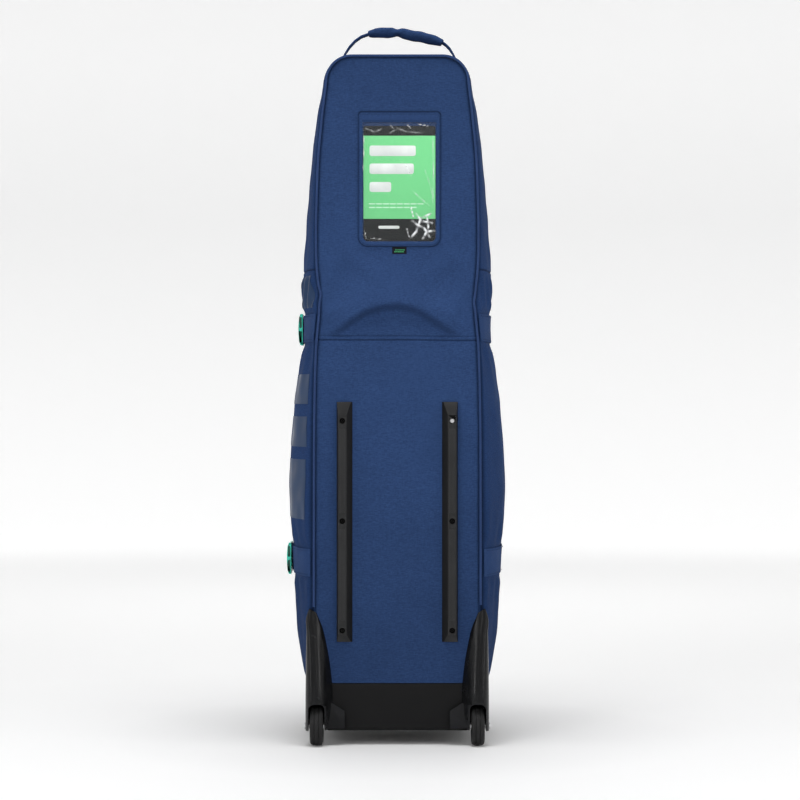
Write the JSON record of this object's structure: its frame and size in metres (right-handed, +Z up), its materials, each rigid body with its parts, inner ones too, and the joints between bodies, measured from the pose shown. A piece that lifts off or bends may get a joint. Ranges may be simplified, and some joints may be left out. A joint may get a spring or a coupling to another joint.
{
  "type": "wheeled sports travel bag",
  "caption": "Upright padded travel bag for long sports equipment, with a hinged zip door, skid rails, wheels, buckled straps, a label pocket and a top handle.",
  "frame": {"origin": "centre of the bottom of the bounding box, on the floor under the bag; the bag's own mirror plane is X = 0 and the buckles make the box a few millimetres wider on the -X side", "axes": "+Z up; the back panel with the skid rails and the wheels faces -Y; the door faces +Y and is hinged on the +X side"},
  "size_m": [0.4051, 0.3698, 1.3064],
  "materials": {
    "navy_fabric": "heathered woven polyester over foam",
    "navy_webbing": "flat woven webbing",
    "black_plastic": "satin moulded plastic",
    "rubber": "matte",
    "green_plastic": "mint green acetal",
    "steel": "zinc plated",
    "clear_film": "clear soft vinyl",
    "green_card": "printed card",
    "black_fabric": "woven tape",
    "coil": "nylon coil on tape",
    "foam": "lined foam",
    "board": "extruded sheet"
  },
  "bodies": {
    "shell": {"axle_left": "steel", "axle_right": "steel", "back_panel_lower": "navy_fabric", "back_panel_upper": "navy_fabric", "back_piping": "navy_webbing", "base_tray": "black_plastic", "buckle_socket_lower": "green_plastic", "buckle_socket_upper": "green_plastic", "front_foot_left": "rubber", "front_foot_right": "rubber", "hood_gusset": "navy_fabric", "hood_pad": "foam", "label_card": "green_card", "label_frame": "navy_fabric", "label_tab": "black_fabric", "label_window": "clear_film", "rail_screw_left_1": "black_plastic", "rail_screw_left_2": "black_plastic", "rail_screw_left_3": "black_plastic", "rail_screw_right_1": "black_plastic", "rail_screw_right_2": "black_plastic", "rail_screw_right_3": "black_plastic", "side_gusset_left": "navy_fabric", "side_gusset_right": "navy_fabric", "skid_rail_left": "black_plastic", "skid_rail_right": "black_plastic", "stiffener_board": "board", "strap_tab_lower_left": "navy_webbing", "strap_tab_lower_right": "navy_webbing", "strap_tab_upper_left": "navy_webbing", "strap_tab_upper_right": "navy_webbing", "wheel_housing_left": "black_plastic", "wheel_housing_right": "black_plastic", "zip_chain_shell": "coil"},
    "door": {"door_gusset": "navy_fabric", "door_handle": "navy_webbing", "door_panel": "navy_fabric", "hood_pocket": "navy_fabric", "main_pocket": "navy_fabric", "strap_lower": "navy_webbing", "strap_upper": "navy_webbing", "zip_chain_door": "coil"},
    "plug_upper": {"buckle_plug_upper": "green_plastic"},
    "plug_lower": {"buckle_plug_lower": "green_plastic"},
    "main_pocket_slider": {"main_pocket_slider": "steel"},
    "hood_pocket_slider": {"hood_pocket_slider": "steel"},
    "wheel_left": {"tyre_left": "rubber", "hub_left": "black_plastic", "bearing_inner_left": "steel", "bearing_outer_left": "steel"},
    "wheel_right": {"tyre_right": "rubber", "hub_right": "black_plastic", "bearing_inner_right": "steel", "bearing_outer_right": "steel"},
    "top_handle": {"top_handle_webbing": "navy_webbing", "top_handle_grip": "navy_fabric"},
    "zip_slider_left": {"zip_slider_left": "steel"},
    "zip_slider_right": {"zip_slider_right": "steel"},
    "zip_pull_left": {"zip_pull_left": "green_plastic"},
    "zip_pull_right": {"zip_pull_right": "green_plastic"}
  },
  "joints": [
    {"name": "wheel_left_spin", "type": "hinge", "parent": "shell", "child": "wheel_left", "pos_m": [-0.1455, -0.15, 0.035], "axis": [1, 0, 0], "continuous": true},
    {"name": "wheel_right_spin", "type": "hinge", "parent": "shell", "child": "wheel_right", "pos_m": [0.1455, -0.15, 0.035], "axis": [1, 0, 0], "continuous": true},
    {"name": "door_hinge", "type": "hinge", "parent": "shell", "child": "door", "pos_m": [0.2011, 0.03, 0.65], "axis": [0, 0, -1], "range_deg": [0, 120]},
    {"name": "plug_upper_slide", "type": "slide", "parent": "door", "child": "plug_upper", "axis": [0, 1, 0], "range_m": [0, 0.022]},
    {"name": "plug_lower_slide", "type": "slide", "parent": "door", "child": "plug_lower", "axis": [0, 1, 0], "range_m": [0, 0.022]},
    {"name": "main_pocket_slider_slide", "type": "slide", "parent": "door", "child": "main_pocket_slider", "axis": [1, 0, 0], "range_m": [0, 0.2]},
    {"name": "hood_pocket_slider_slide", "type": "slide", "parent": "door", "child": "hood_pocket_slider", "axis": [1, 0, 0], "range_m": [0, 0.136]},
    {"name": "top_handle_fold", "type": "hinge", "parent": "shell", "child": "top_handle", "pos_m": [0, -0.075, 1.25], "axis": [1, 0, 0], "range_deg": [-35, 35]},
    {"name": "zip_slider_left_slide", "type": "slide", "parent": "shell", "child": "zip_slider_left", "axis": [-1, 0, 0], "range_m": [0, 0.02]},
    {"name": "zip_slider_right_slide", "type": "slide", "parent": "shell", "child": "zip_slider_right", "axis": [1, 0, 0], "range_m": [0, 0.1]},
    {"name": "zip_pull_left_lift", "type": "hinge", "parent": "zip_slider_left", "child": "zip_pull_left", "pos_m": [-0.06, 0.03, 1.2545], "axis": [0, 1, 0], "range_deg": [0, 100]},
    {"name": "zip_pull_right_lift", "type": "hinge", "parent": "zip_slider_right", "child": "zip_pull_right", "pos_m": [-0.036, 0.03, 1.2545], "axis": [0, -1, 0], "range_deg": [0, 100]}
  ]
}
